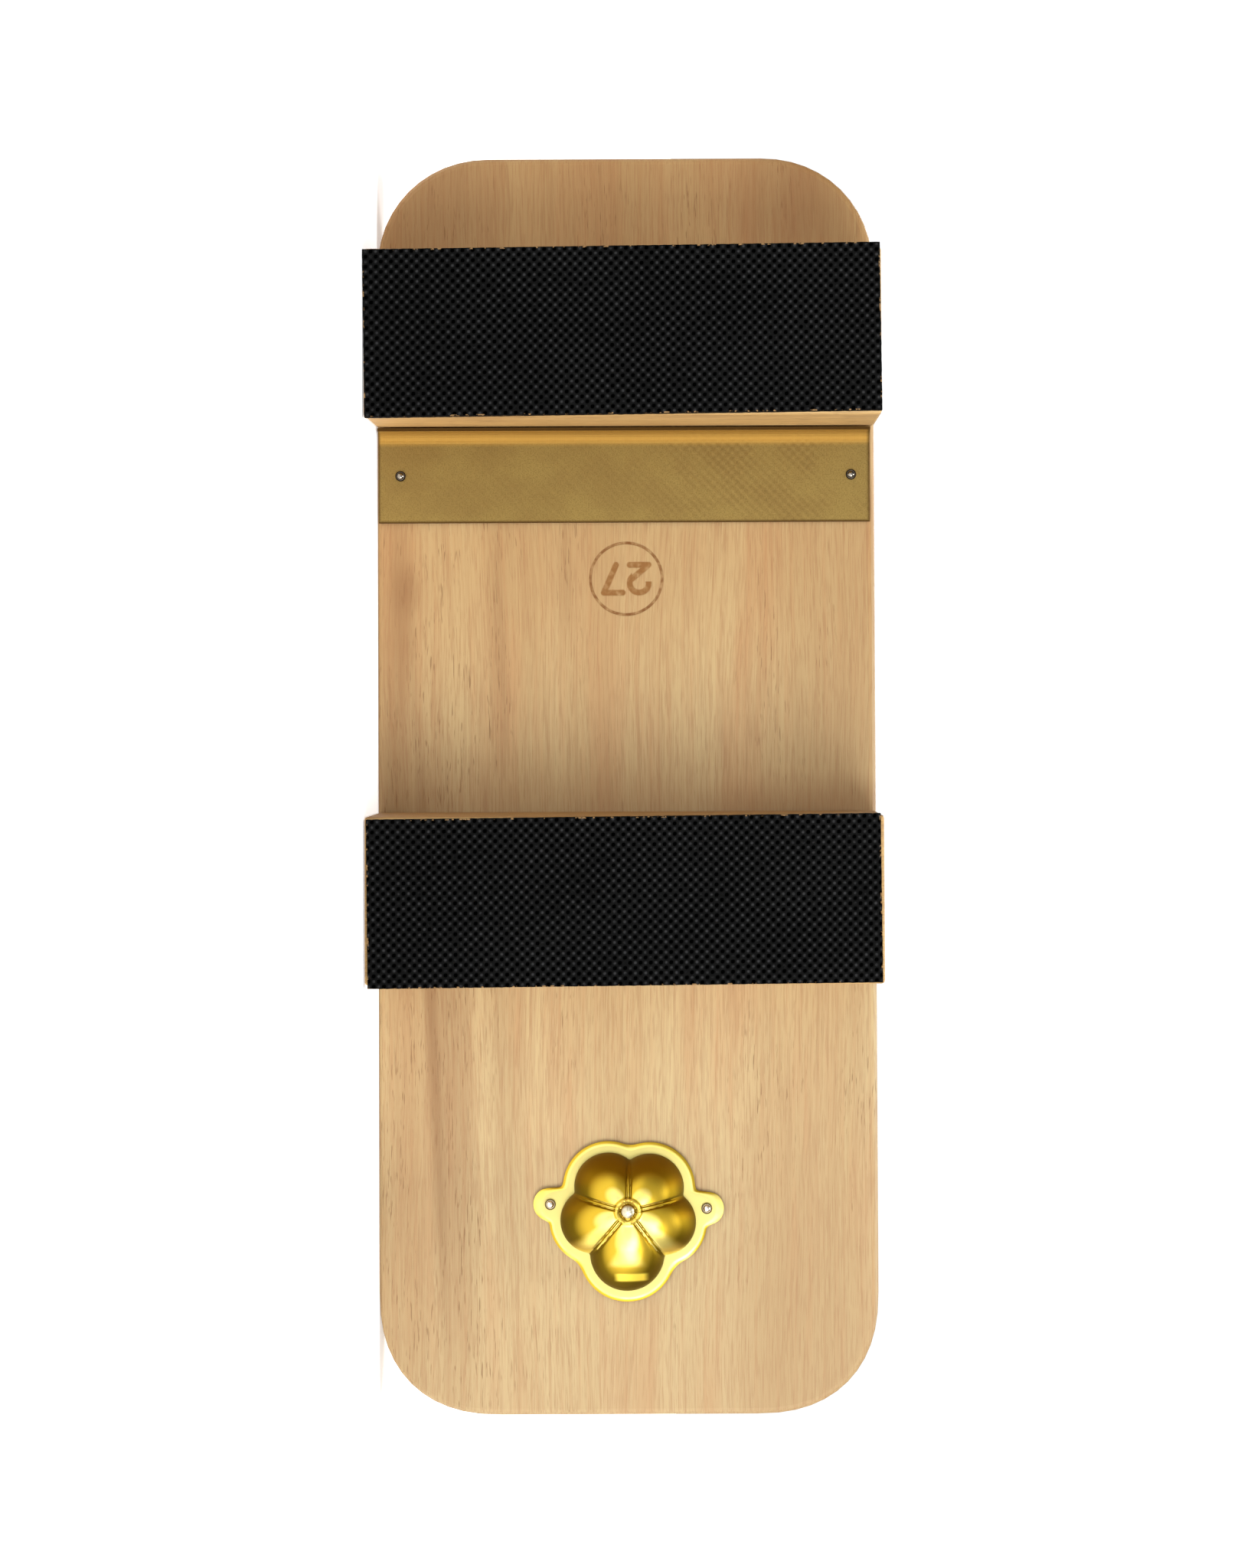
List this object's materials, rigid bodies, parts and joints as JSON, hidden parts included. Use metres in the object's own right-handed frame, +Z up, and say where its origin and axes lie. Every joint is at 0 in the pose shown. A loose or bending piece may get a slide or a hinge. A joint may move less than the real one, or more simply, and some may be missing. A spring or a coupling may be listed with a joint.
{
  "type": "wooden sandal",
  "caption": "Wooden geta with crosswise teeth, rubber treads, a brass heel plate, a blossom cap over the toe-cord knot and a padded thong, lying on its side.",
  "frame": {"origin": "on the floor, under the middle of the sandal as it lies on its side", "axes": "+X from heel to toe, +Y from the treads to the footbed, +Z up, across the sandal's width"},
  "size_m": [0.28, 0.1012, 0.111],
  "materials": {
    "plank_wood": "sanded bare wood, fine straight grain along the sandal",
    "tooth_wood": "sanded bare wood, grain across the sandal",
    "tread_rubber": "matte black, fine raised lattice",
    "heel_plate_brass": "satin, brushed along the sandal",
    "cap_brass": "bright pressed sheet",
    "nail_metal": "polished heads",
    "strap_fabric": "plain dark woven cloth over padding",
    "cord_fabric": "plain dark twisted cord"
  },
  "bodies": {
    "root": {"plank": "plank_wood", "heel_tooth": "tooth_wood", "ball_tooth": "tooth_wood", "heel_tread": "tread_rubber", "ball_tread": "tread_rubber", "heel_plate": "heel_plate_brass", "heel_plate_nail_left": "nail_metal", "heel_plate_nail_right": "nail_metal", "blossom_cap": "cap_brass", "cap_nail_left": "nail_metal", "cap_nail_right": "nail_metal", "thong_strap": "strap_fabric", "toe_cord": "cord_fabric"}
  },
  "joints": []
}
